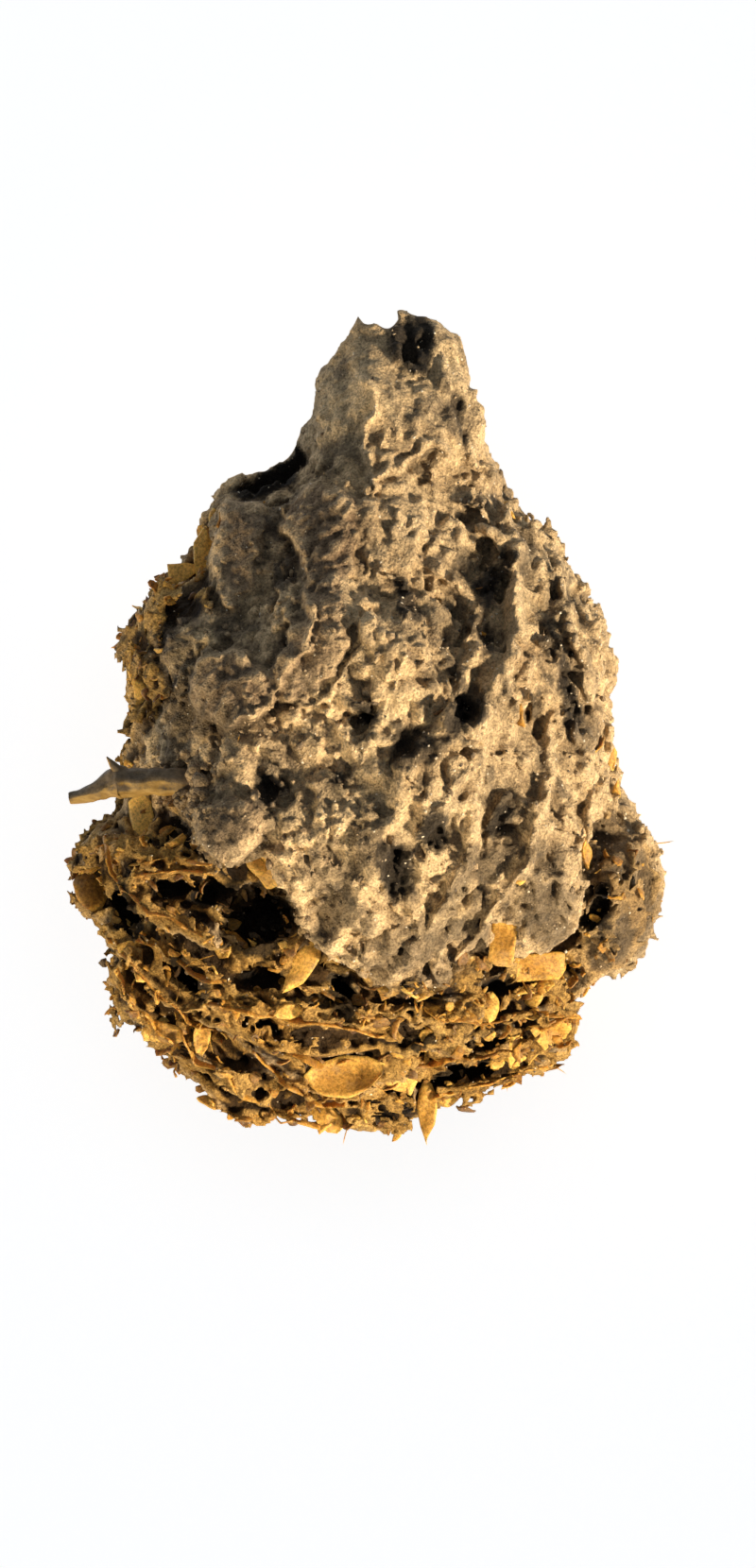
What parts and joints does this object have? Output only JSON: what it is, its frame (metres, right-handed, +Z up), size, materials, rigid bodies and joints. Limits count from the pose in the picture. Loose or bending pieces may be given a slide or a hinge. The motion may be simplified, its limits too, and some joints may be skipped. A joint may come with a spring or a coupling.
{
  "type": "coprolite",
  "caption": "Tapering, dried lump of fossil dung with a pitted dusty crust, a broken wide end that shows layered plant waste, bran flakes and a straw.",
  "frame": {"origin": "middle of the small flat spot that the lump lies on", "axes": "+Z up, away from the surface it lies on; +Y along the lump, towards its narrow tip"},
  "size_m": [0.042, 0.059, 0.0352],
  "materials": {
    "crust": "dry, dusty and matte, pitted, tan-grey on the crust and dark brown inside",
    "bran": "smooth golden-amber plant skin, slightly shiny",
    "straw": "dusty grey-brown on top, golden below"
  },
  "bodies": {
    "root": {"hanging_glume": "bran", "upright_bran_flake": "bran", "wide_bran_flake": "bran", "leaning_glume": "bran", "edge_bran_flake": "bran", "boat_husk": "bran", "bottom_glume": "bran", "bottom_wedge": "bran", "bottom_husk": "bran", "pale_shard": "bran", "amber_husk": "bran", "pale_kernel_skin": "bran", "yellow_crumb": "bran", "lower_left_husk": "bran", "ring_husk": "bran", "left_edge_husk": "bran", "left_shoulder_husk": "bran", "left_shoulder_flake": "bran", "left_brown_husk": "bran", "right_edge_husk": "bran", "lobe_shard": "bran", "straw": "straw", "dung_lump": "crust"}
  },
  "joints": []
}
